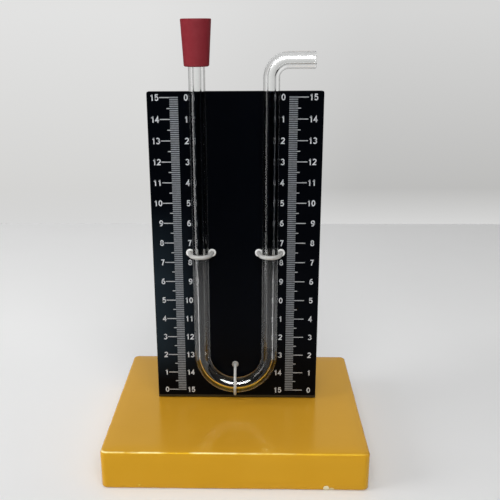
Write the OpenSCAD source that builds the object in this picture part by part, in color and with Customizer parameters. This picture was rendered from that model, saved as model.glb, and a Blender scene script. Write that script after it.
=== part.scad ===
// Glass U-tube manometer on a scale board, standing on a painted base.
// Millimetres. X runs to the right, Y to the back and Z up.
// The origin is the middle of the underside of the base, and the board's front face is on Y = 0.

/* [Base] */
// Width of the base, left to right
base_w = 124.5; // [100:0.5:180]
// Depth of the base, front to back
base_d = 102.5; // [80:0.5:150]
// Thickness of the base
base_t = 19.5; // [16:0.5:30]
// Radius of the upright corners of the base
base_corner_r = 2.5; // [2:0.5:10]
// Radius of the long edges of the base
base_edge_r = 1.25; // [0.75:0.25:1.75]

/* [Board] */
// Width of the board
board_w = 82; // [74:0.5:100]
// Height of the board, from the top of the base
board_h = 158; // [150:0.5:190]
// Thickness of the sheet
sheet_t = 1.2; // [0.8:0.1:1.6]
// Radius of the outside of the bend at the foot
fold_r = 1.9; // [1.7:0.1:3]
// Length of the flange, from the front of the board to its back edge
flange_d = 24; // [20:0.5:30]
// Radius of the top corners of the board
board_corner_r = 1.2; // [0.5:0.1:3]

/* [Scale film] */
// Thickness of the printed film
film_t = 0.25; // [0.1:0.05:0.5]
// Margin between the film and the edges of the board
film_margin = 0.2; // [0.1:0.1:1]
// Gap between the fold at the foot and the lower edge of the film
film_foot_gap = 0.3; // [0.1:0.1:1]

/* [Tube] */
// Outside diameter of the glass
tube_od = 7.8; // [7:0.1:9]
// Bore of the glass
tube_id = 3.1; // [2.5:0.1:4.5]
// Distance between the axes of the two limbs
limb_spacing = 33.8; // [30:0.5:38]
// Offset of the tube from the middle of the board
tube_x = -0.25; // [-2:0.05:2]
// Height of the lowest point of the bend, from the top of the base
bend_lift = 6.3; // [5:0.1:9]
// Height of the end of the left limb, from the top of the board
limb_rise = 23.5; // [18:0.5:30]
// Height of the axis of the arm, from the top of the board
arm_rise = 13.8; // [10:0.1:20]
// Radius of the bend into the arm, on the axis of the glass
arm_bend_r = 7.5; // [6:0.1:9]
// Distance from the axis of the right limb to the open end of the arm
arm_reach = 19.9; // [17:0.1:30]

/* [Stopper] */
// Diameter of the top of the stopper
stopper_top_d = 13.9; // [12:0.1:16]
// Diameter of the bottom of the stopper
stopper_bottom_d = 11.5; // [10:0.1:12]
// Height of the stopper
stopper_h = 20.5; // [18:0.1:26]
// Length of the limb that is inside the stopper
stopper_grip = 12.3; // [8:0.1:15]
// Diameter of the narrow hole above the end of the limb
stopper_hole_d = 6; // [5:0.1:6.5]
// Clearance between the stopper and the glass, all round
stopper_fit = 0.05; // [0.02:0.01:0.1]
// Chamfer of the stopper's edges
stopper_chamfer = 0.4; // [0.2:0.1:0.6]

/* [Ties and eyelets] */
// Diameter of the two ties on the limbs
limb_tie_d = 2; // [1.4:0.1:2.2]
// Diameter of the bottom tie
bottom_tie_d = 1.4; // [1:0.1:2]
// Height of the two ties on the limbs, from the top of the base
tie_lift = 80.4; // [60:0.1:110]
// Distance between the two eyelets of a limb
tie_span = 10.8; // [10.6:0.1:13]
// Offset of the bottom tie from the middle of the board
bottom_tie_x = -0.7; // [-4:0.1:4]
// Height of the bottom eyelet, from the lowest point of the bend
bottom_eyelet_lift = 13.9; // [13:0.1:20]
// Gap between the turned-in ends of a tie
tie_end_gap = 1.4; // [0.6:0.1:3]
// Radius of a tie's corners behind the board, on its axis
tie_corner_r = 1.3; // [1.2:0.1:2]
// Radius of a tie where it turns out of its eyelet towards the glass, on its axis
tie_knee_r = 2; // [1.4:0.1:2.5]
// How far the eyelet's rim reaches past its tie, all round
eyelet_flare = 0.95; // [0.85:0.05:1.4]
// Height of the eyelet's rim above the film
eyelet_rim_h = 1; // [0.8:0.1:1.4]
// Wall of the eyelet's barrel
eyelet_wall = 0.35; // [0.3:0.05:0.6]
// Diameter of the rolled end behind the board
eyelet_roll_d = 3.8; // [3.6:0.1:4.5]
// Thickness of the rolled end
eyelet_roll_t = 0.5; // [0.3:0.1:0.8]

/* [Screws] */
// Diameter of the screw's shank
screw_d = 3.5; // [3:0.1:4]
// Length of the screw below its head
screw_len = 14; // [10:0.5:15]
// Diameter of the screw's head
screw_head_d = 6.6; // [6:0.1:8]
// Height of the screw's head
screw_head_h = 2.2; // [1.8:0.1:3]
// Width of the slot in the head
screw_slot_w = 0.9; // [0.6:0.1:1.2]
// Depth of the slot in the head
screw_slot_h = 1; // [0.6:0.1:1.2]
// Length of the screw's point
screw_tip = 3; // [2:0.5:4]
// Distance of the outer screws from the sides of the board
screw_inset = 11; // [6:0.5:16]
// Distance of the screws from the front of the board
screw_setback = 14; // [12:0.5:15]
// Outside diameter of the washer
washer_d = 8; // [7:0.5:9]
// Thickness of the washer
washer_t = 0.8; // [0.5:0.1:1.2]

/* [Fits] */
// Clearance of a hole round what goes through it, all round
hole_fit = 0.05; // [0.03:0.01:0.1]
// Gap between round pieces that lie against each other
touch_gap = 0.05; // [0.03:0.01:0.1]

/* [Hidden] */

$fn = 64;
// How far a cutting shape runs past the face that it cuts
over = 1;
// How far a slanted rod runs into its neighbours, and how much smaller its radius is so that it stays inside them
lap = 0.15;
lap_step = 0.01;

// The tube's axis, its limbs and its heights
board_top = base_t + board_h;
bend_r = limb_spacing / 2;
left_x = tube_x - bend_r;
right_x = tube_x + bend_r;
tube_y = -(film_t + touch_gap + tube_od / 2);
bend_bottom = base_t + bend_lift;
bend_z = bend_bottom + tube_od / 2 + bend_r;
limb_top = board_top + limb_rise;
arm_z = board_top + arm_rise;

// The stopper's seat on the end of the limb
stopper_z = limb_top - stopper_grip;
stopper_bore_d = tube_od + 2 * stopper_fit;
stopper_shoulder = stopper_grip + touch_gap;

// The ties, in planes that stand square to the board
tie_z = base_t + tie_lift;
tie_leg_end = -(sheet_t + eyelet_roll_t + touch_gap);
tie_back = tie_leg_end - tie_corner_r;
tie_glass = [0, -tube_y];
bottom_axis_z = bend_bottom + tube_od / 2;
bottom_eyelet_z = bend_bottom + bottom_eyelet_lift;
bottom_hole_z = bottom_axis_z - wrap_r(bottom_tie_d);

// The eyelets: where each one is on the board, and the diameter of the tie in it
eyelet_spots = [[left_x - tie_span / 2, tie_z, limb_tie_d], [left_x + tie_span / 2, tie_z, limb_tie_d],
                [right_x - tie_span / 2, tie_z, limb_tie_d], [right_x + tie_span / 2, tie_z, limb_tie_d],
                [bottom_tie_x, bottom_eyelet_z, bottom_tie_d]];
function tie_hole(tie_d) = tie_d + 2 * hole_fit;
function barrel_d(tie_d) = tie_hole(tie_d) + 2 * eyelet_wall;
function board_hole(tie_d) = barrel_d(tie_d) + 2 * hole_fit;

// A tie's radius round the glass, the centre of its knee and the lean of its straight stretch,
// with X along the board from the tube's axis and Y out of the front
function wrap_r(tie_d) = tube_od / 2 + touch_gap + tie_d / 2;
function tie_knee(leg_x) = [leg_x - tie_knee_r, film_t + eyelet_rim_h];
function tie_lean(tie_d, leg_x) =
    let (knee = tie_knee(leg_x))
    atan2(tie_glass.y - knee.y, knee.x) + asin((wrap_r(tie_d) - tie_knee_r) / norm(tie_glass - knee));

// The flange's screws
screw_hole_d = screw_d + 2 * hole_fit;
screw_xs = [screw_inset - board_w / 2, 0, board_w / 2 - screw_inset];

// A rectangle with round corners, about its middle
module round_rect(w, h, r) {
    square([w - 2 * r, h], center = true);
    square([w, h - 2 * r], center = true);
    for (x = [-1, 1], y = [-1, 1])
        translate([x * (w / 2 - r), y * (h / 2 - r)]) circle(r);
}

// Something that is drawn towards +Z, turned to point out of the front of the board
module out_of_board(x, z) {
    translate([x, 0, z]) rotate([90, 0, 0]) children();
}

// A piece of round rod along +Y from y0 to y1
module rod(d, x, y0, y1) {
    translate([x, y0, 0]) rotate([-90, 0, 0]) cylinder(d = d, h = y1 - y0);
}

// A bent piece of round rod in the XY plane, from one angle to another about a centre
module bent_rod(d, r, centre, from, to) {
    translate([centre.x, centre.y, 0]) rotate([0, 0, from])
        rotate_extrude(angle = to - from) translate([r, 0]) circle(d = d);
}

module base() {
    color("goldenrod")
    difference() {
        intersection() {
            linear_extrude(height = base_t) round_rect(base_w, base_d, base_corner_r);
            translate([0, base_d / 2 + over, base_t / 2]) rotate([90, 0, 0])
                linear_extrude(height = base_d + 2 * over) round_rect(base_w, base_t, base_edge_r);
            translate([-base_w / 2 - over, 0, base_t / 2]) rotate([90, 0, 90])
                linear_extrude(height = base_w + 2 * over) round_rect(base_d, base_t, base_edge_r);
        }
        for (x = screw_xs)
            translate([x, screw_setback, base_t - screw_len]) cylinder(d = screw_hole_d, h = screw_len + over);
    }
}

// The sheet seen from its side: the upright, the bend and the flange
module board_profile() {
    translate([0, fold_r]) square([sheet_t, board_h - fold_r]);
    translate([fold_r, 0]) square([flange_d - fold_r, sheet_t]);
    translate([fold_r, fold_r]) intersection() {
        difference() {
            circle(fold_r);
            circle(fold_r - sheet_t);
        }
        translate([-fold_r - over, -fold_r - over]) square(fold_r + over);
    }
}

module back_board() {
    color("dimgray")
    difference() {
        translate([-board_w / 2, 0, base_t]) rotate([90, 0, 90])
            linear_extrude(height = board_w) board_profile();
        for (side = [-1, 1])
            translate([side * (board_w / 2 - board_corner_r), 0, board_top - board_corner_r]) rotate([-90, 0, 0])
                difference() {
                    translate([side < 0 ? -board_corner_r - over : 0, -board_corner_r - over, -over])
                        cube([board_corner_r + over, board_corner_r + over, sheet_t + 2 * over]);
                    translate([0, 0, -2 * over]) cylinder(r = board_corner_r, h = sheet_t + 4 * over);
                }
        for (spot = eyelet_spots)
            out_of_board(spot.x, spot.y)
                translate([0, 0, -sheet_t - over]) cylinder(d = board_hole(spot.z), h = sheet_t + 2 * over);
        out_of_board(bottom_tie_x, bottom_hole_z)
            translate([0, 0, -sheet_t - over]) cylinder(d = tie_hole(bottom_tie_d), h = sheet_t + 2 * over);
        for (x = screw_xs)
            translate([x, screw_setback, base_t - over]) cylinder(d = screw_hole_d, h = sheet_t + 2 * over);
    }
}

module scale_film() {
    foot = base_t + fold_r + film_foot_gap;
    head = board_top - film_margin;
    color("black")
    difference() {
        translate([-board_w / 2 + film_margin, -film_t, foot])
            cube([board_w - 2 * film_margin, film_t, head - foot]);
        for (spot = eyelet_spots)
            out_of_board(spot.x, spot.y)
                translate([0, 0, -over]) cylinder(d = board_hole(spot.z), h = film_t + 2 * over);
        out_of_board(bottom_tie_x, bottom_hole_z)
            translate([0, 0, -over]) cylinder(d = tie_hole(bottom_tie_d), h = film_t + 2 * over);
    }
}

// The run of the tube as a rod of one diameter, with its two ends lengthened by a given amount
module tube_run(d, extra) {
    translate([left_x, tube_y, bend_z]) cylinder(d = d, h = limb_top - bend_z + extra);
    translate([tube_x, tube_y, bend_z]) rotate([90, 0, 0]) bent_rod(d, bend_r, [0, 0], 180, 360);
    translate([right_x, tube_y, bend_z]) cylinder(d = d, h = arm_z - arm_bend_r - bend_z);
    translate([right_x + arm_bend_r, tube_y, arm_z - arm_bend_r]) rotate([90, 0, 0])
        bent_rod(d, arm_bend_r, [0, 0], 90, 180);
    translate([right_x + arm_bend_r, tube_y, arm_z]) rotate([0, 90, 0])
        cylinder(d = d, h = arm_reach - arm_bend_r + extra);
}

module u_tube() {
    color("lightcyan")
    difference() {
        tube_run(tube_od, 0);
        tube_run(tube_id, over);
    }
}

module stopper() {
    c = stopper_chamfer;
    slope = (stopper_top_d - stopper_bottom_d) / 2 / stopper_h;
    color("firebrick")
    translate([left_x, tube_y, stopper_z])
    difference() {
        rotate_extrude()
            polygon([[0, 0], [stopper_bottom_d / 2 - c, 0], [stopper_bottom_d / 2 + c * slope, c],
                     [stopper_top_d / 2 - c * slope, stopper_h - c], [stopper_top_d / 2 - c, stopper_h],
                     [0, stopper_h]]);
        translate([0, 0, -over]) cylinder(d = stopper_bore_d, h = stopper_shoulder + over);
        cylinder(d = stopper_hole_d, h = stopper_h + over);
    }
}

// One eyelet: a round-edged rim in front, a barrel through the board and a rolled end behind it
module eyelet(index) {
    spot = eyelet_spots[index];
    dome = eyelet_rim_h / 2;
    flat_r = spot.z / 2 + eyelet_flare - dome;
    color("white")
    out_of_board(spot.x, spot.y)
    difference() {
        union() {
            translate([0, 0, -sheet_t]) cylinder(d = barrel_d(spot.z), h = sheet_t + film_t + dome);
            translate([0, 0, film_t]) rotate_extrude() {
                square([flat_r, eyelet_rim_h]);
                translate([flat_r, dome]) circle(dome);
            }
            translate([0, 0, -sheet_t - eyelet_roll_t]) cylinder(d = eyelet_roll_d, h = eyelet_roll_t);
        }
        translate([0, 0, -sheet_t - eyelet_roll_t - over])
            cylinder(d = tie_hole(spot.z), h = sheet_t + eyelet_roll_t + film_t + eyelet_rim_h + 2 * over);
    }
}

// One end of a tie behind the board, turned along X towards the other end
module tie_end(tie_d, x, side, length) {
    bent_rod(tie_d, tie_corner_r, [x + side * tie_corner_r, tie_leg_end],
             side > 0 ? 180 : 270, side > 0 ? 270 : 360);
    translate([x + side * tie_corner_r, tie_back, 0]) rotate([0, side * 90, 0]) cylinder(d = tie_d, h = length);
}

// A tie from behind its eyelet to the glass: a leg, a knee and a straight stretch
module tie_reach(tie_d, leg_x) {
    knee = tie_knee(leg_x);
    lean = tie_lean(tie_d, leg_x);
    normal = [sin(lean), cos(lean)];
    start = knee + tie_knee_r * normal;
    finish = tie_glass + wrap_r(tie_d) * normal;
    rod(tie_d, leg_x, tie_leg_end, knee.y);
    bent_rod(tie_d, tie_knee_r, knee, 0, 90 - lean);
    translate([start.x, start.y, 0]) rotate([0, 0, -lean]) rotate([0, -90, 0])
        translate([0, 0, -lap]) cylinder(d = tie_d - 2 * lap_step, h = norm(finish - start) + 2 * lap);
}

// A tie round the front of a limb, from one eyelet to the other
module limb_tie(limb_x) {
    half = tie_span / 2;
    lean = tie_lean(limb_tie_d, half);
    color("ivory")
    translate([limb_x, 0, tie_z]) rotate([180, 0, 0]) {
        bent_rod(limb_tie_d, wrap_r(limb_tie_d), tie_glass, 90 - lean, 90 + lean);
        for (side = [0, 1])
            mirror([side, 0, 0]) {
                tie_reach(limb_tie_d, half);
                tie_end(limb_tie_d, half, -1, half - tie_corner_r - tie_end_gap / 2);
            }
    }
}

module tie_left() { limb_tie(left_x); }

module tie_right() { limb_tie(right_x); }

// The bottom tie, drawn with X up the board: out of the eyelet, down to the glass,
// round its front and back through the board below it
module tie_bottom() {
    top = bottom_eyelet_z - bottom_axis_z;
    under = wrap_r(bottom_tie_d);
    end_length = (top + under) / 2 - tie_corner_r - tie_end_gap / 2;
    color("ivory")
    translate([bottom_tie_x, 0, bottom_axis_z]) rotate([0, -90, 0]) rotate([180, 0, 0]) {
        tie_reach(bottom_tie_d, top);
        bent_rod(bottom_tie_d, under, tie_glass, 180, 90 - tie_lean(bottom_tie_d, top));
        rod(bottom_tie_d, -under, tie_leg_end, tie_glass.y);
        tie_end(bottom_tie_d, top, -1, end_length);
        tie_end(bottom_tie_d, -under, 1, end_length);
    }
}

module flange_screw(x) {
    seat = base_t + sheet_t + washer_t;
    color("silver")
    translate([x, screw_setback, seat])
    difference() {
        union() {
            cylinder(d = screw_head_d, h = screw_head_h / 2);
            translate([0, 0, screw_head_h / 2])
                cylinder(d1 = screw_head_d, d2 = screw_head_d - screw_head_h, h = screw_head_h / 2);
            translate([0, 0, screw_tip - screw_len]) cylinder(d = screw_d, h = screw_len - screw_tip);
            translate([0, 0, -screw_len]) cylinder(d1 = 0.4, d2 = screw_d, h = screw_tip);
        }
        translate([0, 0, screw_head_h - screw_slot_h / 2])
            cube([screw_head_d + over, screw_slot_w, screw_slot_h], center = true);
    }
}

module flange_washer(x) {
    color("lightgray")
    translate([x, screw_setback, base_t + sheet_t])
    difference() {
        cylinder(d = washer_d, h = washer_t);
        translate([0, 0, -over]) cylinder(d = screw_hole_d, h = washer_t + 2 * over);
    }
}

base();
back_board();
scale_film();
u_tube();
stopper();
eyelet(0);  // eyelet_left_outer
eyelet(1);  // eyelet_left_inner
eyelet(2);  // eyelet_right_inner
eyelet(3);  // eyelet_right_outer
eyelet(4);  // eyelet_bottom
tie_left();
tie_right();
tie_bottom();
flange_screw(screw_xs[0]);  // flange_screw_left
flange_screw(screw_xs[1]);  // flange_screw_mid
flange_screw(screw_xs[2]);  // flange_screw_right
flange_washer(screw_xs[0]);  // flange_washer_left
flange_washer(screw_xs[1]);  // flange_washer_mid
flange_washer(screw_xs[2]);  // flange_washer_right
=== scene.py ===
"""The looks of the glass manometer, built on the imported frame.

The axes are the frame's own: X to the right, Y to the back and Z up. The object's sizes are in millimetres
and its angles in degrees. The stage and the lights are in metres.
"""
import math

import bmesh
import bpy
from mathutils import Matrix, Vector, noise


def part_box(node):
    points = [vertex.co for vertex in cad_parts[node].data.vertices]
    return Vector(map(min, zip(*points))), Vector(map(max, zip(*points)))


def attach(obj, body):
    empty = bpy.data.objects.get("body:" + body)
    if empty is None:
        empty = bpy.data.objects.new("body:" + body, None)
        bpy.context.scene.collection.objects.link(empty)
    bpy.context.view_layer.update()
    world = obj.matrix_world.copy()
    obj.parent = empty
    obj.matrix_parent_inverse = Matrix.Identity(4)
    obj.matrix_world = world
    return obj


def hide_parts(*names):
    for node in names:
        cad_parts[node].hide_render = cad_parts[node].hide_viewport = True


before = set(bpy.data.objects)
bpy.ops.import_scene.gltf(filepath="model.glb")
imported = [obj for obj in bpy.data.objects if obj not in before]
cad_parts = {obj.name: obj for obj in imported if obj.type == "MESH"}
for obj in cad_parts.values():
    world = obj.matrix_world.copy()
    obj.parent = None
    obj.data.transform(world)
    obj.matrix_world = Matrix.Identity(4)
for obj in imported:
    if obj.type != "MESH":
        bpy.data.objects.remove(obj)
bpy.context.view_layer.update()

MM = 0.001
WELD = 1e-7
STAND = "stand"
STOPPER = "stopper"

# Camera, from a fit of the photograph's scale ticks, board and base
IMAGE_SIDE = 500
FOCAL_PIXELS = 715.5
CAMERA_CENTRE_PIXEL = (234.9, 254.35)
CAMERA_PLACE = (9.06, -335.75, 204.95)
CAMERA_PAN = 1.64
CAMERA_TILT = 17.53
CAMERA_ROLL = -0.376
SENSOR_WIDTH = 36
CLIP_RANGE = (0.01, 20)

# Base
BASE_CORNER_R = 2.5
BASE_EDGE_R = 1.25
BASE_ROUND_STEPS = 6
BASE_SIDE_STEPS = 6
BASE_STEP = 1.5
BASE_CAP_INSET = 8.0
BASE_UNEVEN = 0.14
BASE_WAVES = (9, 3.5)
BASE_FLAT_SHARE = 0.35

# Tube
TUBE_BORE_R = 1.55
LIMB_SPACING = 33.8
ARM_AXIS_Z = 191.3
ARM_BEND_R = 7.5
TUBE_RIM_R = 0.8
TUBE_SIDES = 72
TUBE_UNEVEN = 0.035
TUBE_WAVE = 14
LEFT_LIMB_STEPS = 30
BEND_STEPS = 144
RIGHT_LIMB_STEPS = 26
ARM_BEND_STEPS = 30
ARM_STEPS = 6
RIM_STEPS = 6

# Stopper
STOPPER_TOP_R = 6.95
STOPPER_BOTTOM_R = 5.75
STOPPER_BORE_R = 3.95
STOPPER_GRIP = 12.35
STOPPER_HOLE_R = 3.0
STOPPER_WALL = 0.4
STOPPER_UNEVEN = 0.06
STOPPER_WAVE = 4
STOPPER_STEP = 1.5
STOPPER_SIDES = 80

# Ties and eyelets
LIMB_TIE_R = 1.0
BOTTOM_TIE_R = 0.7
TIE_SPAN = 10.8
TIE_Z = 99.9
TIE_CORNER_R = 1.3
TIE_KNEE_R = 2.0
TIE_END_GAP = 1.4
TOUCH_GAP = 0.05
TIE_SNIP = 0.12
TIE_TIP_SHARE = 0.82
TIE_DENT = 0.03
TIE_WAVE = 1.7
TIE_SIDES = 20
BOTTOM_TIE_X = -0.7
BOTTOM_EYELET_LIFT = 13.9
TIE_HOLE_FIT = 0.05
EYELET_WALL = 0.35
EYELET_FLARE = 0.95
EYELET_RIM_H = 1.0
EYELET_ROLL_R = 1.9
EYELET_ROLL_T = 0.5
EYELET_SIDES = 40
SHEET_T = 1.2

# Printed scale, with the places of its marks across the board
CENTIMETRE = 10
HALF_CENTIMETRE = 5
SCALE_ZERO_Z = 24.71
SCALE_LENGTH = 150
SCALE_SIDES = [
    {"inner": -26.4, "outer": -30.4, "half": -31.8, "whole": -35.1,
     "outer_number": -35.4, "inner_number": -21.8},
    {"inner": 25.0, "outer": 29.0, "half": 30.4, "whole": 33.9,
     "outer_number": 38.2, "inner_number": 23.2}]
FINE_TICK_W = 0.62
LONG_TICK_W = 0.42
PRINT_LIFT = 0.03
DIGIT_H = 3.0
DIGIT_W = 1.85
DIGIT_PITCH = 2.12
DIGIT_STROKE = 0.5
MITRE_LIMIT = 0.4

# Screws, whose domes are given as pairs of radius and drop
SCREW_HEAD_R = 3.3
SCREW_HEAD_H = 2.2
SCREW_DOME = [(0, 0), (1.2, 0.05), (2.2, 0.3), (2.9, 0.8), (3.2, 1.4), (SCREW_HEAD_R, 1.9)]
SCREW_SEAT_R = 3.2
SCREW_SHANK_R = 1.75
SCREW_TIP = 3.0
SCREW_TIP_R = 0.2
SCREW_SIDES = 48
SLOT_W = 0.9
SLOT_H = 1.0

# Room: its colour, how bright it is to the camera and to other rays, and what glass adds to that
ROOM_COLOUR = (1.0, 0.995, 0.985)
ROOM_TONE = 0.7
ROOM_DIM = 0.12
ROOM_THROUGH_GLASS = 0.32

# Table and wall, with the distances over which they fade, and the place that the lights aim at
WALL_SIZE = (0.8, 0.6)
WALL_Y = 0.424
WALL_SIDE_FADE = (0.32, 0.4)
WALL_TOP_FADE = (0.4, 0.6)
TABLE_SIZE = (5, 4)
TABLE_FADE = (0.55, 0.9)
TABLE_GLOW = 0.72
TABLE_GLOW_FADE = (0.27, 0.305)
LIGHT_AIM = (0, 0, 0.08)


# Geometry helpers

def mm(*values):
    """A point given in millimetres."""
    return Vector(values) * MM


def box_mm(node):
    """The lowest and highest corner of a CAD node, in millimetres."""
    low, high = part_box(node)
    return Vector(low) / MM, Vector(high) / MM


def ripple(place, length):
    """Smooth noise from 0 to 1 at a place, in waves of a given length."""
    return noise.noise(place / length) * 0.5 + 0.5


def polar(centre, radius, angle):
    """The point of a circle in a plane at an angle in degrees, as a pair."""
    turn = math.radians(angle)
    return centre[0] + radius * math.cos(turn), centre[1] + radius * math.sin(turn)


def arc(centre, radius, start, end, steps):
    """Points of an arc in a plane, from one angle in degrees to another."""
    return [polar(centre, radius, start + (end - start) * i / steps) for i in range(steps + 1)]


def line(start, end, steps):
    """Points of a straight line in a plane, without its last point."""
    return [(start[0] + (end[0] - start[0]) * i / steps, start[1] + (end[1] - start[1]) * i / steps)
            for i in range(steps)]


def directions(points):
    """The unit direction of a path at each of its points."""
    steps = [(b - a).normalized() for a, b in zip(points, points[1:])]
    middle = [(a + b).normalized() for a, b in zip(steps, steps[1:])]
    return [steps[0]] + middle + [steps[-1]]


def ring(centre, along, across, radius, sides):
    """A circle of points round a path, where across is square to the plane of the path."""
    up = across.cross(along)
    angles = [2 * math.pi * i / sides for i in range(sides)]
    return [centre + radius * (math.cos(a) * up + math.sin(a) * across) for a in angles]


def piece_from(name, points, faces, material, slot, body, replaced=(), smooth=True):
    """A mesh piece from points in millimetres, that rides on a body and may stand for CAD nodes."""
    mesh = bpy.data.meshes.new(name)
    mesh.from_pydata([p * MM for p in points], [], faces)
    bm = bmesh.new()
    bm.from_mesh(mesh)
    bmesh.ops.remove_doubles(bm, verts=bm.verts, dist=WELD)
    bmesh.ops.recalc_face_normals(bm, faces=bm.faces)
    bm.to_mesh(mesh)
    bm.free()
    for polygon in mesh.polygons:
        polygon.use_smooth = smooth
    mesh.materials.append(material)
    piece = bpy.data.objects.new(name, mesh)
    bpy.context.collection.objects.link(piece)
    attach(piece, body)
    if replaced:
        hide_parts(*replaced)
    return piece


def dress(node, material):
    """Gives a CAD node a material and leaves its shape as it is."""
    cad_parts[node].material_slots[0].material = material


def skin(rings, loop=False, caps=False):
    """The points and faces of a surface through rings of equally many points."""
    count = len(rings[0])
    points = [p for r in rings for p in r]
    faces = []
    pairs = len(rings) if loop else len(rings) - 1
    for i in range(pairs):
        a, b = i * count, (i + 1) % len(rings) * count
        faces += [(a + j, a + (j + 1) % count, b + (j + 1) % count, b + j) for j in range(count)]
    if caps:
        faces.append(tuple(range(count)))
        faces.append(tuple(range(len(points) - count, len(points))))
    return points, faces


def rounded(corners, steps=5):
    """A closed outline with round corners. Each corner is given as across, up and radius."""
    outline = []
    for i, (x, y, radius) in enumerate(corners):
        here = Vector((x, y))
        back = Vector(corners[i - 1][:2]) - here
        ahead = Vector(corners[(i + 1) % len(corners)][:2]) - here
        if radius == 0:
            outline.append(here)
            continue
        cut = radius / math.tan(back.angle(ahead) / 2)
        start, end = here + back.normalized() * cut, here + ahead.normalized() * cut
        for k in range(steps + 1):
            t = k / steps
            outline.append((1 - t) ** 2 * start + 2 * t * (1 - t) * here + t * t * end)
    return outline


def lathe(outline, centre, axis, sides):
    """Rings of an outline, given as pairs of radius and height, turned about an axis through a centre."""
    axis = Vector(axis)
    across = axis.orthogonal().normalized()
    other = axis.cross(across)
    angles = [2 * math.pi * i / sides for i in range(sides)]
    return [[Vector(centre) + axis * h + (across * math.cos(a) + other * math.sin(a)) * r for a in angles]
            for r, h in outline]


# Material helpers

class Nodes:
    """Short ways to add nodes to a tree and link them."""

    def __init__(self, tree):
        self.tree = tree

    def add(self, kind, inputs=(), **settings):
        """A new node with its settings and inputs."""
        node = self.tree.nodes.new(kind)
        for setting, value in settings.items():
            setattr(node, setting, value)
        for socket, value in dict(inputs).items():
            self.join(value, node.inputs[socket])
        return node

    def join(self, value, socket):
        """Links an output to a socket, or sets the socket to a plain value."""
        if isinstance(value, bpy.types.NodeSocket):
            self.tree.links.new(value, socket)
        else:
            socket.default_value = value

    def maths(self, operation, first, second=0.0):
        """The outcome of a sum with one or two values."""
        node = self.add("ShaderNodeMath", {0: first, 1: second}, operation=operation)
        return node.outputs[0]

    def product(self, first, *others):
        """All the given values multiplied together."""
        for other in others:
            first = self.maths("MULTIPLY", first, other)
        return first


class Finish(Nodes):
    """A procedural material: a principled shader with short ways to texture it."""

    def __init__(self, name, colour, roughness, **sockets):
        self.material = bpy.data.materials.new(name)
        self.material.use_nodes = True
        super().__init__(self.material.node_tree)
        self.shader = self.tree.nodes["Principled BSDF"]
        self.place = self.add("ShaderNodeTexCoord").outputs["Object"]
        self.set("Base Color", (*colour, 1))
        self.set("Roughness", roughness)
        for socket, value in sockets.items():
            self.set(socket.replace("_", " "), value)

    def set(self, socket, value):
        """Links or sets one of the shader's own sockets."""
        self.join(value, self.shader.inputs[socket])

    def axes(self):
        """The object's own X, Y and Z, in metres."""
        return self.add("ShaderNodeSeparateXYZ", {"Vector": self.place}).outputs

    def noise(self, size_mm, detail=2.0, roughness=0.5, stretch=(1, 1, 1)):
        """Noise with grains of about a given size."""
        place = self.add("ShaderNodeMapping", {"Vector": self.place, "Scale": stretch})
        node = self.add("ShaderNodeTexNoise", {
            "Vector": place.outputs["Vector"], "Scale": 1 / (size_mm * MM),
            "Detail": detail, "Roughness": roughness})
        return node.outputs["Fac"]

    def ramp(self, value, low, high, start=(0, 0, 0), end=(1, 1, 1)):
        """A colour that goes from start to end as a value goes from low to high."""
        node = self.add("ShaderNodeValToRGB", {"Fac": value})
        first, last = node.color_ramp.elements
        first.position, last.position = low, high
        first.color, last.color = (*start, 1), (*end, 1)
        return node.outputs["Color"]

    def mix(self, amount, first, second):
        """A blend of two colours."""
        node = self.add("ShaderNodeMix", data_type="RGBA")
        self.join(amount, node.inputs[0])
        for socket, value in ((node.inputs[6], first), (node.inputs[7], second)):
            self.join(value if isinstance(value, bpy.types.NodeSocket) else (*value, 1), socket)
        return node.outputs[2]

    def fall(self, value, start, end, first, last):
        """A number that goes from first to last as a value goes from start to end."""
        node = self.add("ShaderNodeMapRange", {
            "Value": value, "From Min": start, "From Max": end, "To Min": first, "To Max": last})
        return node.outputs["Result"]

    def fall_mm(self, value, start, end, first, last):
        """The same, where the value is a length and its start and end are in millimetres."""
        return self.fall(value, start * MM, end * MM, first, last)

    def scaled(self, value, low, high):
        """A value from 0 to 1, spread from low to high."""
        return self.fall(value, 0, 1, low, high)

    def spot(self, centre_mm, size_mm, ragged=0.5, grain_mm=1.2):
        """1 inside an uneven patch about a place, and 0 outside it."""
        away = self.add("ShaderNodeVectorMath", {0: self.place, 1: mm(*centre_mm)}, operation="SUBTRACT")
        span = self.add("ShaderNodeVectorMath", {0: away.outputs[0], 1: mm(*size_mm)}, operation="DIVIDE")
        reach = self.add("ShaderNodeVectorMath", {0: span.outputs[0]}, operation="LENGTH").outputs["Value"]
        edge = self.maths("ADD", reach, self.scaled(self.noise(grain_mm), -ragged, ragged))
        return self.ramp(edge, 0.85, 1.0, (1, 1, 1), (0, 0, 0))

    def bump(self, height, depth_mm, strength=1.0):
        """Adds relief of a given depth to what relief there is."""
        node = self.add("ShaderNodeBump", {"Height": height, "Distance": depth_mm * MM, "Strength": strength})
        if self.shader.inputs["Normal"].is_linked:
            self.join(self.shader.inputs["Normal"].links[0].from_socket, node.inputs["Normal"])
        self.set("Normal", node.outputs["Normal"])


# Materials

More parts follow.
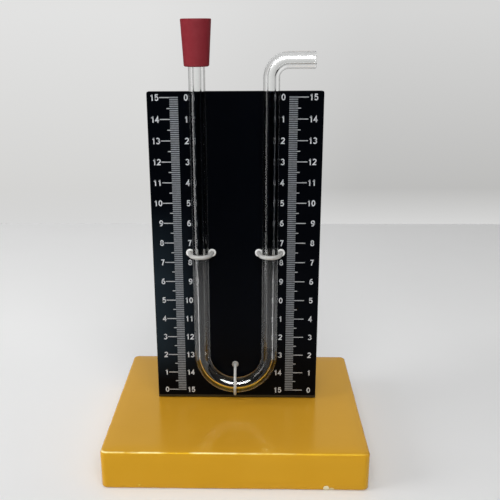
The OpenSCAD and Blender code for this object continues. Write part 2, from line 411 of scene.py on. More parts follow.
def enamel_yellow(chips, front, top):
    """Thick gloss enamel on a wooden block, with brush marks, dust, chips and a painted highlight along the
    front edge.
    """
    finish = Finish("enamel_yellow", (0.63, 0.316, 0.022), 0.2, Specular_IOR_Level=0.5,
                    Specular_Tint=(1.0, 0.93, 0.0, 1))
    cloud = finish.noise(38, detail=3)
    colour = finish.mix(finish.ramp(cloud, 0.3, 0.7), (0.615, 0.305, 0.019), (0.645, 0.327, 0.025))
    specks = finish.ramp(finish.noise(0.9, detail=1), 0.73, 0.78)
    colour = finish.mix(finish.product(specks, 0.3), colour, (0.45, 0.22, 0.02))
    # Painted highlight: a pale band on the upper front edge stands in for the shine of the light above and in
    # front
    colour = finish.mix(painted_edge_highlight(finish, front, top), colour, (0.95, 0.84, 0.42))
    for centre, size, bare in chips:
        chip = finish.spot(centre, size)
        colour = finish.mix(chip, colour, bare)
        finish.bump(chip, -0.2)
    finish.set("Base Color", colour)
    finish.set("Roughness", finish.scaled(finish.noise(11, detail=3), 0.16, 0.26))
    finish.bump(finish.noise(1.1, detail=2), 0.01)
    finish.bump(finish.noise(9, detail=2, stretch=(0.35, 1, 1)), 0.06)
    return finish.material


def painted_edge_highlight(finish, front, top):
    """Painted highlight: how strongly a pale band on the block's upper front edge stands in for its shine,
    most at the left.
    """
    x, y, z = finish.axes()
    below = finish.maths("SUBTRACT", top * MM, z)
    band_start = finish.fall_mm(below, 0.06, 0.22, 0, 1)
    band_end = finish.fall_mm(below, 0.4, 0.7, 1, 0)
    facing = finish.fall_mm(y, front + 1, front + 3, 1, 0.15)
    patches = finish.ramp(finish.noise(13, detail=3, roughness=0.6), 0.36, 0.56)
    leftward = finish.fall_mm(x, -10, 35, 1, 0.06)
    return finish.product(band_start, band_end, facing, patches, leftward)


def board_black():
    """Satin black paint on bent sheet, with a fine grain, dust and light rubs."""
    finish = Finish("board_black", (0.012, 0.012, 0.014), 0.42)
    dust = finish.ramp(finish.noise(6, detail=5, roughness=0.7), 0.5, 0.8)
    rubs = finish.ramp(finish.noise(2.2, detail=3, stretch=(0.12, 1, 1)), 0.62, 0.75)
    colour = finish.mix(finish.product(dust, 0.25), (0.011, 0.011, 0.013), (0.05, 0.05, 0.052))
    finish.set("Base Color", finish.mix(finish.product(rubs, 0.12), colour, (0.09, 0.09, 0.09)))
    finish.set("Roughness", finish.scaled(finish.noise(4, detail=4), 0.36, 0.52))
    finish.bump(finish.noise(0.5, detail=2), 0.02)
    return finish.material


def film_black():
    """Blue-black printing film, a little wavy where it is stuck down, with a painted sheen at the lower left.
    """
    black = (0.0004, 0.0009, 0.0022)
    finish = Finish("film_black", black, 0.3, Specular_IOR_Level=0.045)
    x, _, z = finish.axes()
    # Painted sheen: a lighter bluish patch at the lower left stands in for light glancing off the film from
    # the left
    rise = finish.fall_mm(z, 30, 50, 0, 1)
    sink = finish.fall_mm(z, 85, 125, 1, 0)
    leftward = finish.fall_mm(x, -41, -12, 1, 0)
    cloud = finish.scaled(finish.noise(12, detail=3), 0.6, 1.2)
    colour = finish.mix(finish.product(rise, sink, leftward, cloud), black, (0.012, 0.02, 0.027))
    lint = finish.ramp(finish.noise(1.4, detail=4, roughness=0.75), 0.7, 0.88)
    finish.set("Base Color", finish.mix(finish.product(lint, 0.15), colour, (0.03, 0.031, 0.034)))
    finish.set("Roughness", finish.scaled(finish.noise(14, detail=3), 0.26, 0.4))
    finish.bump(finish.noise(17, detail=1), 0.12)
    finish.bump(finish.noise(0.35, detail=1), 0.006)
    return finish.material


def print_ink(name, thin, full):
    """Printed ink on the film, a little thin in places."""
    finish = Finish(name, full, 0.45, Specular_IOR_Level=0.3)
    worn = finish.noise(1.1, detail=3, roughness=0.6)
    finish.set("Base Color", finish.mix(finish.ramp(worn, 0.35, 0.65), thin, full))
    finish.bump(finish.noise(0.3, detail=1), 0.005)
    return finish.material


def clear_glass(name):
    """The finish of drawn glass, clear and smooth, with a trace of tint in it."""
    finish = Finish(name, (0.98, 0.985, 0.98), 0.0, IOR=1.5, Transmission_Weight=1.0,
                    Specular_Tint=(0, 0, 0, 1))
    tint = finish.mix(finish.noise(5, detail=3), (0.965, 0.975, 0.968), (0.99, 0.992, 0.99))
    finish.set("Base Color", tint)
    return finish


def shiny_glass(name, roughness, right_shine):
    """Drawn glass that mirrors on its outside: fully on the left limb, and by a given share on the right."""
    finish = clear_glass(name)
    finish.set("Coat IOR", 1.7)
    finish.set("Coat Roughness", roughness)
    inside = finish.add("ShaderNodeNewGeometry").outputs["Backfacing"]
    shine = finish.fall_mm(finish.axes()["X"], 11, 13, 1.0, right_shine)
    finish.set("Coat Weight", finish.product(shine, finish.maths("SUBTRACT", 1.0, inside)))
    return finish.material


def red_rubber():
    """Matt red rubber with a faint bloom, a fine grain and a few pits."""
    finish = Finish("red_rubber", (0.215, 0.015, 0.024), 0.62, Specular_IOR_Level=0.2)
    bloom = finish.ramp(finish.noise(3.2, detail=4, roughness=0.65), 0.45, 0.8)
    colour = finish.mix(finish.product(bloom, 0.25), (0.21, 0.014, 0.022), (0.3, 0.04, 0.052))
    pits = finish.ramp(finish.noise(0.5, detail=1), 0.7, 0.76)
    finish.set("Base Color", finish.mix(finish.product(pits, 0.5), colour, (0.12, 0.006, 0.01)))
    finish.set("Roughness", finish.scaled(finish.noise(2, detail=3), 0.55, 0.75))
    finish.bump(finish.noise(0.28, detail=2), 0.03)
    finish.bump(pits, 0.05, 0.6)
    return finish.material


def eyelet_enamel(name, clean, grimy):
    """Enamel on a small pressed eyelet, a little darker with handling."""
    finish = Finish(name, clean, 0.3)
    grime = finish.ramp(finish.noise(0.8, detail=3), 0.45, 0.75)
    finish.set("Base Color", finish.mix(finish.product(grime, 0.4), clean, grimy))
    finish.set("Roughness", finish.scaled(finish.noise(0.6), 0.2, 0.34))
    finish.bump(finish.noise(0.4, detail=1), 0.015)
    return finish.material


def tie_ivory():
    """Ivory plastic over soft wire, with faint dents and handling marks."""
    finish = Finish("tie_ivory", (0.45, 0.448, 0.436), 0.4)
    handled = finish.ramp(finish.noise(1.6, detail=3), 0.4, 0.75)
    finish.set("Base Color", finish.mix(handled, (0.46, 0.458, 0.448), (0.38, 0.372, 0.35)))
    finish.set("Roughness", finish.scaled(finish.noise(0.9, detail=2), 0.32, 0.5))
    finish.bump(finish.noise(0.7, detail=2), 0.02)
    return finish.material


def zinc():
    """Bright zinc plate with turning marks and dull stains."""
    finish = Finish("zinc", (0.6, 0.6, 0.59), 0.32, Metallic=1.0)
    stain = finish.ramp(finish.noise(1.8, detail=3), 0.4, 0.75)
    finish.set("Base Color", finish.mix(stain, (0.66, 0.66, 0.65), (0.42, 0.42, 0.4)))
    finish.set("Roughness", finish.scaled(finish.noise(0.7, detail=3), 0.25, 0.48))
    finish.bump(finish.noise(0.22, detail=2, stretch=(1, 1, 4)), 0.01)
    return finish.material


# Pieces

def rectangle(half_w, half_d, corner_r, step):
    """Points round a rectangle with round corners, about a given step apart on its sides."""
    inner_w, inner_d = half_w - corner_r, half_d - corner_r
    centres = [(inner_w, -inner_d), (inner_w, inner_d), (-inner_w, inner_d), (-inner_w, -inner_d)]
    side_steps = [round(2 * inner_d / step), round(2 * inner_w / step)] * 2
    points = []
    for i, centre in enumerate(centres):
        corner = arc(centre, corner_r, 90 * i - 90, 90 * i, BASE_ROUND_STEPS)
        following = polar(centres[(i + 1) % 4], corner_r, 90 * i)
        points += corner[:-1] + line(corner[-1], following, side_steps[i])
    return points


def make_base():
    """The painted block: a rounded slab whose thick paint leaves the edges slightly uneven."""
    half_w, half_d, height = box_mm("base")[1]
    outline = rectangle(half_w, half_d, BASE_CORNER_R, BASE_STEP)
    edge = arc((BASE_EDGE_R, BASE_EDGE_R), BASE_EDGE_R, 270, 180, BASE_ROUND_STEPS)
    profile = [(BASE_CAP_INSET, 0.0)] + edge
    profile += line((0.0, BASE_EDGE_R), (0.0, height - BASE_EDGE_R), BASE_SIDE_STEPS)[1:]
    profile += [(inset, height - rise) for inset, rise in reversed(edge)] + [(BASE_CAP_INSET, height)]
    middle = Vector((0, 0, height / 2))
    rings = []
    for inset, z in profile:
        share = 1.0 if 0 < inset < BASE_EDGE_R else BASE_FLAT_SHARE
        shrink_w, shrink_d = (half_w - inset) / half_w, (half_d - inset) / half_d
        points = [Vector((x * shrink_w, y * shrink_d, z)) for x, y in outline]
        for p in points:
            wave = max(0.0, 0.5 + 0.5 * sum(noise.noise(p / length) for length in BASE_WAVES))
            if 0 < p.z < height:
                p += (middle - p).normalized() * wave * BASE_UNEVEN * share
        rings.append(points)
    # Each chip: its middle, its reach each way and the colour that shows in it
    chips = [((42.6, -half_d, 1.6), (1.5, 3.0, 1.2), (0.85, 0.78, 0.55)),
             ((45.0, -half_d, 1.0), (1.2, 3.0, 0.8), (0.75, 0.6, 0.3)),
             ((-44.5, -half_d, 2.2), (0.7, 2.0, 0.5), (0.8, 0.52, 0.06)),
             ((half_w, 21.0, 0.8), (3.0, 1.8, 0.8), (0.8, 0.72, 0.5))]
    paint = enamel_yellow(chips, -half_d, height)
    piece_from("base_block", *skin(rings, caps=True), paint, "base_paint", STAND, ["base"])


def rim_profile(outer):
    """The polished end of the glass from its outside to its bore, as pairs of reach and radius."""
    angles = [math.radians(90 * k / RIM_STEPS) for k in range(1, RIM_STEPS + 1)]
    outside = [(math.sin(a), outer - TUBE_RIM_R + TUBE_RIM_R * math.cos(a)) for a in angles]
    inside = [(math.sin(a), TUBE_BORE_R + TUBE_RIM_R - TUBE_RIM_R * math.cos(a)) for a in reversed(angles)]
    return [(share * TUBE_RIM_R, radius) for share, radius in outside + inside]


def make_tube(soft, sharp, inside):
    """The glass: one swept tube with a bore and polished rims, smoother on the bend and above the ties."""
    low, high = box_mm("u_tube")
    outer = (high.y - low.y) / 2
    depth = (high.y + low.y) / 2
    left = low.x + outer
    right = left + LIMB_SPACING
    bend_r = LIMB_SPACING / 2
    bend_z = low.z + outer + bend_r
    arm_start = right + ARM_BEND_R
    arm_low = ARM_AXIS_Z - ARM_BEND_R
    arm_end = (high.x - TUBE_RIM_R, ARM_AXIS_Z)
    flat = line((left, high.z - TUBE_RIM_R), (left, bend_z), LEFT_LIMB_STEPS)
    flat += arc((left + bend_r, bend_z), bend_r, 180, 360, BEND_STEPS)[:-1]
    flat += line((right, bend_z), (right, arm_low), RIGHT_LIMB_STEPS)
    flat += arc((arm_start, arm_low), ARM_BEND_R, 180, 90, ARM_BEND_STEPS)[:-1]
    flat += line((arm_start, ARM_AXIS_Z), arm_end, ARM_STEPS) + [arm_end]
    path = [Vector((x, depth, z)) for x, z in flat]
    along = directions(path)
    sweep = list(zip(path, along))
    rim = rim_profile(outer)

    def round_ring(place, direction, radius):
        """A circle of the tube about a place on its path."""
        return ring(place, direction, Vector((0, 1, 0)), radius, TUBE_SIDES)

    rings = [round_ring(p, t, outer - TUBE_UNEVEN * ripple(p, TUBE_WAVE)) for p, t in sweep]
    rings += [round_ring(path[-1] + along[-1] * reach, along[-1], radius) for reach, radius in rim]
    bore_start = len(rings)
    rings += [round_ring(p, t, TUBE_BORE_R) for p, t in reversed(sweep)]
    bore_end = len(rings) - 1
    rings += [round_ring(path[0] - along[0] * reach, along[0], radius) for reach, radius in reversed(rim)]
    tube = piece_from("glass_tube", *skin(rings, loop=True), soft, "tube_glass", STAND, ["u_tube"])
    smooth = [i for i, p in enumerate(path) if p.z < bend_z or TIE_Z < p.z < arm_low]
    for material, strips in ((sharp, smooth), (inside, range(bore_start, bore_end))):
        tube.data.materials.append(material)
        for i in strips:
            for polygon in tube.data.polygons[i * TUBE_SIDES:(i + 1) * TUBE_SIDES]:
                polygon.material_index = len(tube.data.materials) - 1
    return tube


def make_stopper(material):
    """The stopper: a tapered plug with soft edges and a stepped hole."""
    low, high = box_mm("stopper")
    height = high.z - low.z
    outline = rounded([
        (STOPPER_BORE_R, 0, 0.5), (STOPPER_BOTTOM_R, 0, 0.9),
        (STOPPER_TOP_R, height, 0.5), (STOPPER_HOLE_R, height, 0.35),
        (STOPPER_HOLE_R, STOPPER_GRIP, 0.2), (STOPPER_BORE_R, STOPPER_GRIP, 0.2)])
    dense = []
    for a, b in zip(outline, outline[1:] + outline[:1]):
        steps = max(1, round((b - a).length / STOPPER_STEP))
        dense += [a.lerp(b, i / steps) for i in range(steps)]
    centre = ((low.x + high.x) / 2, (low.y + high.y) / 2, low.z)
    rings = lathe(dense, centre, (0, 0, 1), STOPPER_SIDES)
    axis = Vector((centre[0], centre[1], 0))
    for points in rings:
        for p in points:
            out = Vector((p.x, p.y, 0)) - axis
            if out.length > STOPPER_BORE_R + STOPPER_WALL:
                p -= out.normalized() * ripple(p, STOPPER_WAVE) * STOPPER_UNEVEN
    piece_from("rubber_stopper", *skin(rings, loop=True), material, "stopper_rubber", STOPPER, ["stopper"])


def make_eyelet(node, tie_r, material):
    """One eyelet: a round-edged rim in front of the film, a barrel and a rolled end behind the board."""
    low, high = box_mm(node)
    bore = tie_r + TIE_HOLE_FIT
    front = -low.y
    film = front - EYELET_RIM_H
    barrel = bore + EYELET_WALL
    back = -SHEET_T - EYELET_ROLL_T
    edge = EYELET_RIM_H / 2
    rim = tie_r + EYELET_FLARE
    outline = rounded([
        (bore, front, 0.25), (rim, front, edge), (rim, film, edge * 0.9),
        (barrel, film, 0), (barrel, -SHEET_T, 0),
        (EYELET_ROLL_R, -SHEET_T, 0.18), (EYELET_ROLL_R, back, 0.2), (bore, back, 0.12)])
    centre = ((low.x + high.x) / 2, 0, (low.z + high.z) / 2)
    rings = lathe(outline, centre, (0, -1, 0), EYELET_SIDES)
    piece_from(node + "_pressed", *skin(rings, loop=True), material, "eyelet_white", STAND, [node])


def make_eyelets():
    """The four white eyelets of the ties round the limbs, and the greyer one of the tie over the bend."""
    white = eyelet_enamel("eyelet_white", (0.88, 0.88, 0.87), (0.6, 0.595, 0.58))
    grey = eyelet_enamel("eyelet_grey", (0.36, 0.355, 0.33), (0.2, 0.195, 0.175))
    for place in ("left_outer", "left_inner", "right_inner", "right_outer"):
        make_eyelet("eyelet_" + place, LIMB_TIE_R, white)
    make_eyelet("eyelet_bottom", BOTTOM_TIE_R, grey)


def make_tie(node, flat, tie_r, place, material):
    """One tie, swept along a path that is given along the board and out of its front."""
    path = [place(u, v) for u, v in flat]
    along = directions(path)
    across = (place(0, 1) - place(0, 0)).cross(place(1, 0) - place(0, 0)).normalized()
    tip_r = tie_r * TIE_TIP_SHARE
    rings = [ring(path[0] - along[0] * TIE_SNIP, along[0], across, tip_r, TIE_SIDES)]
    for p, t in zip(path, along):
        rings.append(ring(p, t, across, tie_r - TIE_DENT * ripple(p, TIE_WAVE), TIE_SIDES))
    rings.append(ring(path[-1] + along[-1] * TIE_SNIP, along[-1], across, tip_r, TIE_SIDES))
    piece_from(node + "_wire", *skin(rings, caps=True), material, "tie_white", STAND, [node])


def tie_tail(u, towards, length):
    """The end of a tie behind the board, from its tip to its leg: turned towards the other end."""
    leg_end = -(SHEET_T + EYELET_ROLL_T + TOUCH_GAP)
    corner = (u + towards * TIE_CORNER_R, leg_end)
    turn = arc(corner, TIE_CORNER_R, 270, 180 if towards > 0 else 360, steps=10)
    tip = (corner[0] + towards * (length - TIE_SNIP), leg_end - TIE_CORNER_R)
    return line(tip, turn[0], steps=3) + turn


def tie_reach(leg, glass, wrap_r, tail):
    """A tie's points from its tail through its eyelet to the glass, and the lean of its last stretch."""
    knee = Vector((leg - TIE_KNEE_R, -box_mm("scale_film")[0].y + EYELET_RIM_H))
    lean = math.degrees(math.atan2(glass.y - knee.y, knee.x)
                        + math.asin((wrap_r - TIE_KNEE_R) / (glass - knee).length))
    bend = arc(knee, TIE_KNEE_R, 0, 90 - lean, steps=8)
    touch = polar(glass, wrap_r, 90 - lean)
    points = tie_tail(leg, -1, tail) + line((leg, 0), (leg, knee.y), steps=3)
    points += bend[:-1] + line(bend[-1], touch, steps=4)
    return points, lean


def make_ties(material):
    """The two ties round the limbs and the tie over the bend."""
    low, high = box_mm("u_tube")
    outer = (high.y - low.y) / 2
    glass = Vector((0, -(high.y + low.y) / 2))
    half = TIE_SPAN / 2
    wrap_r = outer + TOUCH_GAP + LIMB_TIE_R
    side, lean = tie_reach(half, glass, wrap_r, half - TIE_CORNER_R - TIE_END_GAP / 2)
    bow = side + arc(glass, wrap_r, 90 - lean, 90 + lean, steps=40) + [(-u, v) for u, v in reversed(side)]
    left = low.x + outer
    for node, x in (("tie_left", left), ("tie_right", left + LIMB_SPACING)):
        make_tie(node, bow, LIMB_TIE_R, lambda u, v, x=x: Vector((x + u, -v, TIE_Z)), material)

    axis_z = low.z + outer
    top = BOTTOM_EYELET_LIFT - outer
    wrap_r = outer + TOUCH_GAP + BOTTOM_TIE_R
    tail = (top + wrap_r) / 2 - TIE_CORNER_R - TIE_END_GAP / 2
    side, lean = tie_reach(top, glass, wrap_r, tail)
    strap = side + arc(glass, wrap_r, 90 - lean, 180, steps=24)
    strap += line((-wrap_r, glass.y), (-wrap_r, 0), steps=4)[1:] + tie_tail(-wrap_r, 1, tail)[::-1]
    make_tie("tie_bottom", strap, BOTTOM_TIE_R, lambda u, v: Vector((BOTTOM_TIE_X, -v, axis_z + u)), material)


def oval(x, y, wide, high, start, end, steps=20):
    """Points of a part of an oval, from one angle in degrees to another."""
    return [(x + wide * math.cos(math.radians(a)), y + high * math.sin(math.radians(a)))
            for a in (start + (end - start) * i / steps for i in range(steps + 1))]


def digit_strokes():
    """The middle lines of the ten digits, about the middle of each, in millimetres."""
    w = (DIGIT_W - DIGIT_STROKE) / 2
    h = (DIGIT_H - DIGIT_STROKE) / 2
    foot = DIGIT_H / 2
    six = [oval(0, -0.4 * h, w, 0.6 * h, 0, 360, 32), oval(0.3 * w, -0.3 * h, 1.3 * w, 1.3 * h, 180, 68)]
    return {
        "0": [oval(0, 0, w, h, 0, 360, 32)],
        "1": [[(-0.75 * w, 0.5 * h), (-0.1 * w, 0.72 * h), (0.2 * w, foot)],
              [(0.2 * w, foot), (0.2 * w, -foot)]],
        "2": [oval(0, 0.45 * h, w, 0.55 * h, 165, -30) + [(-w, -h), (1.2 * w, -h)]],
        "3": [oval(-0.1 * w, 0.5 * h, 0.95 * w, 0.5 * h, 155, -90),
              oval(-0.1 * w, -0.48 * h, 1.1 * w, 0.52 * h, 90, -155)],
        "4": [[(0.4 * w, -foot), (0.4 * w, h), (-1.1 * w, -0.42 * h), (1.3 * w, -0.42 * h)]],
        "5": [[(w, h), (-0.65 * w, h), (-0.85 * w, 0.05 * h)]
              + oval(-0.05 * w, -0.35 * h, 1.05 * w, 0.65 * h, 130, -150)],
        "6": six,
        "7": [[(-w, h), (w, h), (0.25 * w, -0.1 * h), (-0.25 * w, -foot)]],
        "8": [oval(0, 0.5 * h, 0.82 * w, 0.5 * h, 0, 360, 28), oval(0, -0.48 * h, w, 0.52 * h, 0, 360, 28)],
        "9": [[(-x, -y) for x, y in stroke] for stroke in six],
    }


def ribbon(stroke, width):
    """The points and faces of a flat band along a line."""
    path = [Vector(p) for p in stroke]
    sides = [Vector((a.y - b.y, b.x - a.x)).normalized() for a, b in zip(path, path[1:])]
    joints = [sides[0]] + [(a + b).normalized() for a, b in zip(sides, sides[1:])] + [sides[-1]]
    reach = [width / 2 / max(MITRE_LIMIT, joint.dot(side)) for joint, side in zip(joints, sides + sides[-1:])]
    points = []
    for p, joint, far in zip(path, joints, reach):
        points += [p + joint * far, p - joint * far]
    return points, [(2 * i, 2 * i + 1, 2 * i + 3, 2 * i + 2) for i in range(len(path) - 1)]


class Print:
    """Flat printed marks on the film, gathered into one piece."""

    def __init__(self):
        self.front = box_mm("scale_film")[0].y - PRINT_LIFT
        self.points = []
        self.faces = []

    def mark(self, stroke, width, x=0.0, z=0.0):
        """One band along a line, moved by a given amount."""
        points, faces = ribbon(stroke, width)
        start = len(self.points)
        self.points += [Vector((x + p.x, self.front, z + p.y)) for p in points]
        self.faces += [tuple(start + k for k in face) for face in faces]

    def number(self, text, right, z):
        """A number whose right edge is at a given place."""
        strokes = digit_strokes()
        for i, digit in enumerate(reversed(text)):
            for stroke in strokes[digit]:
                self.mark(stroke, DIGIT_STROKE, right - DIGIT_W / 2 - i * DIGIT_PITCH, z)

    def make(self, name, material):
        """Turns the marks into a piece."""
        piece_from(name, self.points, self.faces, material, "film", STAND, smooth=False)


def make_print():
    """The two printed scales: bands of millimetre ticks, longer ticks outwards, and numbers on both sides."""
    fine, long, bold = Print(), Print(), Print()
    for side in SCALE_SIDES:
        for i in range(SCALE_LENGTH + 1):
            z = SCALE_ZERO_Z + i
            fine.mark([(side["inner"], z), (side["outer"], z)], FINE_TICK_W)
            if i % CENTIMETRE == 0:
                long.mark([(side["outer"], z), (side["whole"], z)], LONG_TICK_W)
                bold.number(str(i // CENTIMETRE), side["outer_number"], z)
                bold.number(str((SCALE_LENGTH - i) // CENTIMETRE), side["inner_number"], z)
            elif i % HALF_CENTIMETRE == 0:
                long.mark([(side["outer"], z), (side["half"], z)], LONG_TICK_W)
    fine.make("scale_ticks", print_ink("print_grey", (0.165, 0.178, 0.195), (0.22, 0.237, 0.258)))
    long.make("scale_long_ticks", print_ink("print_pale", (0.36, 0.373, 0.392), (0.46, 0.475, 0.498)))
    bold.make("scale_numbers", print_ink("print_white", (0.5, 0.518, 0.545), (0.62, 0.64, 0.675)))


def make_screw(node, material):
    """One flange screw: a domed head with a slot, a shank and a point."""
    low, high = box_mm(node)
    seat = high.z - SCREW_HEAD_H
    outline = [(radius, high.z - drop) for radius, drop in SCREW_DOME]
    outline += [(SCREW_SEAT_R, seat), (SCREW_SHANK_R, seat), (SCREW_SHANK_R, low.z + SCREW_TIP),
                (SCREW_TIP_R, low.z), (0, low.z)]
    centre = ((low.x + high.x) / 2, (low.y + high.y) / 2, 0)
    rings = lathe(outline, centre, (0, 0, 1), SCREW_SIDES)
    piece = piece_from(node + "_turned", *skin(rings), material, "screw_steel", STAND, [node])
    bpy.ops.mesh.primitive_cube_add(size=1, location=mm(centre[0], centre[1], high.z))
    cutter = bpy.context.object
    cutter.scale = mm(SCREW_HEAD_R * 3, SLOT_W, SLOT_H * 2)
    slot = piece.modifiers.new("slot", "BOOLEAN")
    slot.object = cutter
    slot.operation = "DIFFERENCE"
    graph = bpy.context.evaluated_depsgraph_get()
    piece.data = bpy.data.meshes.new_from_object(piece.evaluated_get(graph))
    piece.modifiers.clear()
    bpy.data.objects.remove(cutter)
    # The walls and the floor of the slot stay flat
    for polygon in piece.data.polygons:
        polygon.use_smooth = abs(polygon.normal.y) < 0.98 and abs(polygon.normal.z) < 0.999


def make_fasteners():
    """The screws and washers of the board's flange."""
    plate = zinc()
    for place in ("left", "mid", "right"):
        make_screw("flange_screw_" + place, plate)
        dress("flange_washer_" + place, plate)


# Stage, light and camera

def stage_plane(name, matrix, material):
    """A flat sheet of the stage, placed in its mesh."""
    corners = [(-0.5, -0.5, 0), (0.5, -0.5, 0), (0.5, 0.5, 0), (-0.5, 0.5, 0)]
    mesh = bpy.data.meshes.new(name)
    mesh.from_pydata([matrix @ Vector(c) for c in corners], [], [(0, 1, 2, 3)])
    mesh.materials.append(material)
    plane = bpy.data.objects.new(name, mesh)
    bpy.context.collection.objects.link(plane)
    return plane


def make_table():
    """A pale table that fades into the room. What mirrors it sees it glow only near the object; seen straight
    on it has painted light, glowing more towards the back and the left.
    """
    finish = Finish("table_pale", (0.79, 0.79, 0.79), 0.6, Specular_IOR_Level=0.0)
    tone = finish.mix(finish.noise(60, detail=3), (0.78, 0.783, 0.785), (0.8, 0.803, 0.805))
    x, y, _ = finish.axes()
    away = finish.add("ShaderNodeVectorMath", {0: finish.place}, operation="LENGTH").outputs["Value"]
    path = finish.add("ShaderNodeLightPath").outputs
    bounces = finish.maths("SUBTRACT", path["Ray Depth"], path["Transmission Depth"])
    straight = finish.maths("LESS_THAN", bounces, 0.5)
    mirrored = finish.product(path["Is Glossy Ray"], finish.maths("SUBTRACT", 1.0, straight))
    far = finish.product(straight, finish.fall(away, *TABLE_FADE, 0.0, 1.0))
    finish.set("Base Color", finish.mix(finish.maths("MAXIMUM", mirrored, far), tone, (0, 0, 0)))
    glow = finish.product(mirrored, finish.fall(away, *TABLE_GLOW_FADE, TABLE_GLOW, 0.0))
    # Painted light: the glow seen straight on is brighter towards the back and the left
    backward = finish.fall(y, -0.05, 0.14, 0.05, 0.18)
    leftward = finish.fall(x, -0.1, 0.15, 1.0, 0.6)
    pale = finish.product(straight, backward, leftward)
    seen = finish.add("ShaderNodeMix", {"Factor": far, "A": pale, "B": ROOM_TONE}).outputs[0]
    finish.set("Emission Color", (*ROOM_COLOUR, 1))
    finish.set("Emission Strength", finish.maths("ADD", glow, seen))
    finish.material.cycles.emission_sampling = "NONE"
    width, length = TABLE_SIZE
    centre = Matrix.Translation((0, WALL_Y - length / 2, 0))
    stage_plane("table", centre @ Matrix.Diagonal((width, length, 1, 1)), finish.material)


def make_wall():
    """A pale screen behind the table, with painted shade that makes it darker at the right and lower down; it
    leaves the light on the object alone.
    """
    finish = Finish("wall_pale", (0, 0, 0), 0.8, Specular_IOR_Level=0.0, Emission_Strength=1.0)
    x, _, z = finish.axes()
    # Painted shade: the screen is darker towards the right and the bottom, as light falls from the upper left
    left = finish.mix(finish.fall(z, 0.0, 0.22, 0.0, 1.0), (0.64, 0.637, 0.625), (0.76, 0.76, 0.755))
    right = finish.mix(finish.fall(z, 0.04, 0.22, 0.0, 1.0), (0.51, 0.508, 0.5), (0.665, 0.665, 0.66))
    colour = finish.mix(finish.fall(x, -0.1, 0.12, 0.0, 1.0), left, right)
    colour = finish.mix(finish.fall(z, 0.0, 0.04, 1.0, 0.0), colour, (0.675, 0.675, 0.67))
    out = finish.fall(finish.maths("ABSOLUTE", x), *WALL_SIDE_FADE, 0.0, 1.0)
    high = finish.fall(z, *WALL_TOP_FADE, 0.0, 1.0)
    room = [ROOM_TONE * part for part in ROOM_COLOUR]
    finish.set("Emission Color", finish.mix(finish.maths("MAXIMUM", out, high), colour, room))
    finish.material.cycles.emission_sampling = "NONE"
    width, height = WALL_SIZE
    upright = Matrix.Translation((0, WALL_Y, height / 2)) @ Matrix.Rotation(math.pi / 2, 4, "X")
    wall = stage_plane("wall", upright @ Matrix.Diagonal((width, height, 1, 1)), finish.material)
    wall.visible_diffuse = False
    wall.visible_shadow = False


def make_room():
    """A dim even room that looks pale to the camera and paler through glass."""
    world = bpy.data.worlds.new("room")
    bpy.context.scene.world = world
    world.use_nodes = True
    room = Nodes(world.node_tree)
    path = room.add("ShaderNodeLightPath").outputs
    seen = room.product(path["Is Camera Ray"], ROOM_TONE - ROOM_DIM)
    through = room.product(path["Is Transmission Ray"], ROOM_THROUGH_GLASS)
    background = room.tree.nodes["Background"].inputs
    room.join(room.maths("ADD", room.maths("ADD", seen, through), ROOM_DIM), background["Strength"])
    room.join((*ROOM_COLOUR, 1), background["Color"])


def soft_light(name, place, width, height, radiance, shows="lit"):
    """A soft box aimed at the object, that lights it or only shows mirrored or through glass."""
    lamp = bpy.data.lights.new(name, "AREA")
    lamp.shape = "RECTANGLE"
    lamp.size, lamp.size_y = width, height
    lamp.energy = radiance * math.pi * width * height
    light = bpy.data.objects.new(name, lamp)
    bpy.context.collection.objects.link(light)
    light.location = place
    light.rotation_euler = (Vector(LIGHT_AIM) - Vector(place)).to_track_quat("-Z", "Y").to_euler()
    light.visible_diffuse = shows == "lit"
    light.visible_glossy = shows == "mirrored"
    light.visible_transmission = shows == "through"
    return light


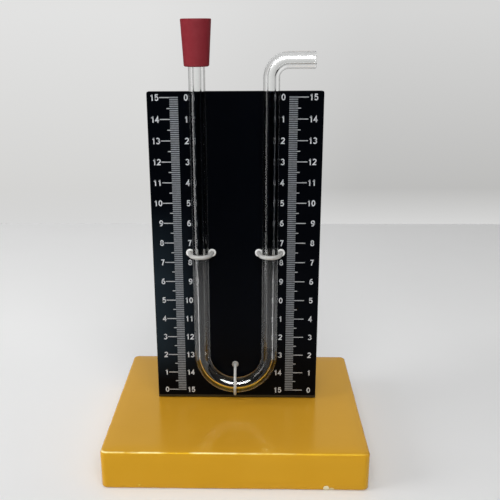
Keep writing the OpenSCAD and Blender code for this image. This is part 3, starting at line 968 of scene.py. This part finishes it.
def make_lights():
    """Soft boxes in front, at the left and above, and cards that only show in what is shiny or clear."""
    soft_light("box_front", place=(0.06, -0.74, 0.8), width=0.85, height=0.5, radiance=4.8)
    soft_light("box_left", place=(-1.05, -0.3, 0.38), width=0.6, height=0.8, radiance=5.0)
    soft_light("box_top", place=(0.0, 0.1, 1.3), width=1.0, height=1.0, radiance=1.35)
    front = (0.02, -0.74, 0.8)
    soft_light("card_front", place=front, width=0.95, height=0.65, radiance=6.5, shows="mirrored")
    soft_light("card_behind_glass", place=front, width=0.95, height=0.65, radiance=4.0, shows="through")
    left = (-0.22, -0.1, 0.085)
    soft_light("card_left", place=left, width=0.1, height=0.19, radiance=2.0, shows="mirrored")


def make_glass_card(tube):
    """A broad card in front that only the glass mirrors, for the bright strip in its bend."""
    mirrors = bpy.data.collections.new("glass")
    mirrors.objects.link(tube)
    front = (0.0, -0.5, 0.55)
    card = soft_light("card_glass", place=front, width=1.0, height=0.35, radiance=14.0, shows="mirrored")
    card.light_linking.receiver_collection = mirrors


def make_camera():
    """The camera where the photograph's was."""
    lens = bpy.data.cameras.new("camera")
    lens.sensor_width = SENSOR_WIDTH
    lens.lens = FOCAL_PIXELS / IMAGE_SIDE * SENSOR_WIDTH
    lens.shift_x = (IMAGE_SIDE / 2 - CAMERA_CENTRE_PIXEL[0]) / IMAGE_SIDE
    lens.shift_y = (CAMERA_CENTRE_PIXEL[1] - IMAGE_SIDE / 2) / IMAGE_SIDE
    lens.clip_start, lens.clip_end = CLIP_RANGE
    camera = bpy.data.objects.new("camera", lens)
    bpy.context.collection.objects.link(camera)
    turn = (Matrix.Rotation(math.radians(CAMERA_PAN), 4, "Z")
            @ Matrix.Rotation(math.radians(90 - CAMERA_TILT), 4, "X")
            @ Matrix.Rotation(math.radians(CAMERA_ROLL), 4, "Z"))
    camera.matrix_world = Matrix.Translation(mm(*CAMERA_PLACE)) @ turn
    bpy.context.scene.camera = camera


bpy.context.scene.view_settings.view_transform = "Standard"
make_camera()
make_table()
make_wall()
make_room()
make_lights()

make_base()
dress("back_board", board_black())
dress("scale_film", film_black())
make_print()
glass_tube = make_tube(shiny_glass("glass_soft", 0.2, 1.0), shiny_glass("glass_sharp", 0.05, 0.5),
                       clear_glass("glass_bore").material)
make_glass_card(glass_tube)
make_stopper(red_rubber())
make_eyelets()
make_ties(tie_ivory())
make_fasteners()
